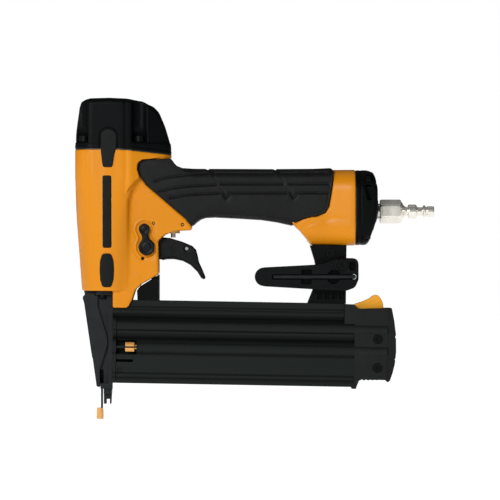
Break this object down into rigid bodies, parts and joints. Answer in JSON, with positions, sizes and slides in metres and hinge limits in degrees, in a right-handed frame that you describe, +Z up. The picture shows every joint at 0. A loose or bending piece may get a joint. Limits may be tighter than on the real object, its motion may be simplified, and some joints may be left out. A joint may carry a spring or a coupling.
{
  "type": "brad nailer",
  "caption": "Pneumatic brad nailer with an orange cast body, black rubber grip, trigger, nose contact and a slide-open magazine under the handle.",
  "frame": {"origin": "centre of the hand grip, on the handle's axis", "axes": "+X back along the handle to the air inlet, +Y to the tool's right-hand side away from the belt hook (the belt hook is on -Y), +Z up away from the nose"},
  "size_m": [0.2695, 0.0514, 0.2402],
  "materials": {
    "body_paint": "satin gold-orange paint on a die casting",
    "grip_rubber": "matt moulded rubber",
    "black_plastic": "satin black moulding with fine grain",
    "amber_plastic": "satin amber moulding",
    "black_aluminium": "black anodised extrusion",
    "black_steel": "black oxide steel",
    "black_screws": "black oxide screws",
    "bright_steel": "plain ground steel",
    "nickel": "nickel plate",
    "spring_steel": "drawn spring wire",
    "seal_rubber": "oiled seal rubber",
    "bare_aluminium": "turned aluminium",
    "urethane": "cast urethane",
    "acetal": "natural acetal",
    "brass": "turned brass",
    "filter_felt": "pressed felt"
  },
  "bodies": {
    "tool_body": {"housing": "body_paint", "grip_sleeve": "grip_rubber", "upper_side_pads": "grip_rubber", "side_strips": "grip_rubber", "lower_side_pads": "grip_rubber", "head_cap": "black_plastic", "cap_gasket": "seal_rubber", "cap_screws": "black_screws", "cylinder_sleeve": "bare_aluminium", "sleeve_seals": "seal_rubber", "bumper": "urethane", "head_valve_spring": "spring_steel", "nose_body": "black_steel", "nose_screws": "black_screws", "door_pin": "black_steel", "contact_spring": "spring_steel", "arm_guard": "black_plastic", "valve_body": "brass", "valve_spring": "spring_steel", "roll_pins": "black_steel", "rear_gasket": "seal_rubber", "rear_cap": "black_plastic", "rear_cap_screws": "black_screws", "exhaust_silencer": "filter_felt", "inlet_nipple": "bright_steel", "air_plug": "nickel", "tail_bracket": "black_plastic", "bracket_screw": "black_screws", "hook_screw": "black_screws", "magazine_rail": "black_aluminium", "rail_screws": "black_screws", "guide_rod": "black_steel"},
    "head_valve": {"head_valve": "acetal"},
    "driver": {"piston": "bare_aluminium", "piston_seal": "seal_rubber", "driver_blade": "bright_steel"},
    "nose_contact": {"contact_arm": "black_steel", "no_mar_tip": "amber_plastic"},
    "nose_door": {"nose_door": "black_steel", "latch_rivet": "black_steel"},
    "door_latch": {"door_latch": "black_steel"},
    "trigger": {"trigger": "black_plastic", "trigger_pin": "bright_steel"},
    "trip_lever": {"trip_lever": "bright_steel"},
    "selector": {"selector_shaft": "black_steel", "selector_knob": "black_plastic"},
    "trigger_valve": {"valve_stem": "bright_steel"},
    "magazine": {"magazine_cover": "black_aluminium", "rod_bushing": "amber_plastic", "end_block_left": "black_plastic", "end_block_right": "black_plastic", "end_block_screws": "black_screws", "end_bumper": "grip_rubber", "latch_pin": "black_steel", "latch_spring": "spring_steel", "pusher_spring": "spring_steel"},
    "magazine_latch": {"latch_lever": "amber_plastic"},
    "nail_pusher": {"nail_pusher": "bright_steel"},
    "belt_hook": {"belt_hook": "black_plastic"},
    "hex_wrench": {"hex_wrench": "black_steel"}
  },
  "joints": [
    {"name": "head_valve_lift", "type": "slide", "parent": "tool_body", "child": "head_valve", "axis": [0, 0, 1], "range_m": [0, 0.004], "stiffness_N_per_m": 400, "springref_m": -0.006, "deforming": ["head_valve_spring"]},
    {"name": "driver_stroke", "type": "slide", "parent": "tool_body", "child": "driver", "axis": [0, 0, -1], "range_m": [0, 0.076]},
    {"name": "contact_slide", "type": "slide", "parent": "tool_body", "child": "nose_contact", "axis": [0, 0, 1], "range_m": [0, 0.009], "stiffness_N_per_m": 300, "springref_m": -0.01, "deforming": ["contact_spring"]},
    {"name": "trigger_pull", "type": "hinge", "parent": "tool_body", "child": "trigger", "pos_m": [-0.0847, 0, -0.0399], "axis": [0, -1, 0], "range_deg": [0, 10], "stiffness_Nm_per_rad": 0.3, "springref_deg": -20.05},
    {"name": "trip_lever_tilt", "type": "hinge", "parent": "trigger", "child": "trip_lever", "pos_m": [-0.055, 0, -0.0409], "axis": [0, 1, 0], "range_deg": [0, 8.5]},
    {"name": "valve_stem_lift", "type": "slide", "parent": "tool_body", "child": "trigger_valve", "axis": [0, 0, 1], "range_m": [0, 0.003], "deforming": ["valve_spring"]},
    {"name": "selector_turn", "type": "hinge", "parent": "tool_body", "child": "selector", "pos_m": [-0.0847, 0, -0.0399], "axis": [0, 1, 0], "range_deg": [0, 90]},
    {"name": "nose_door_open", "type": "hinge", "parent": "tool_body", "child": "nose_door", "pos_m": [-0.1288, 0, -0.0786], "axis": [0, 1, 0], "range_deg": [0, 60]},
    {"name": "door_latch_swing", "type": "hinge", "parent": "nose_door", "child": "door_latch", "pos_m": [-0.1246, 0, -0.1216], "axis": [0, -1, 0], "range_deg": [0, 60]},
    {"name": "magazine_slide", "type": "slide", "parent": "tool_body", "child": "magazine", "axis": [0.9998, 0, -0.0175], "range_m": [0, 0.15]},
    {"name": "latch_press", "type": "hinge", "parent": "magazine", "child": "magazine_latch", "pos_m": [0.06816, 0, -0.08871], "axis": [0, 1, 0], "range_deg": [0, 10], "stiffness_Nm_per_rad": 0.06, "springref_deg": -22.92, "deforming": ["latch_spring"]},
    {"name": "pusher_slide", "type": "slide", "parent": "magazine", "child": "nail_pusher", "axis": [0.9998, 0, -0.0175], "range_m": [0, 0.135], "stiffness_N_per_m": 20, "springref_m": -0.1, "deforming": ["pusher_spring"]},
    {"name": "hook_swing", "type": "hinge", "parent": "tool_body", "child": "belt_hook", "pos_m": [0.0615, 0, -0.0531], "axis": [0, -1, 0], "range_deg": [0, 90]},
    {"name": "wrench_pull", "type": "slide", "parent": "belt_hook", "child": "hex_wrench", "axis": [0, -1, 0], "range_m": [0, 0.03]}
  ],
  "couplings": [
    {"joint": "trip_lever_tilt", "follows": "contact_slide", "rad_per_m": 15.5},
    {"joint": "valve_stem_lift", "follows": "trigger_pull", "m_per_rad": 0.01715}
  ]
}
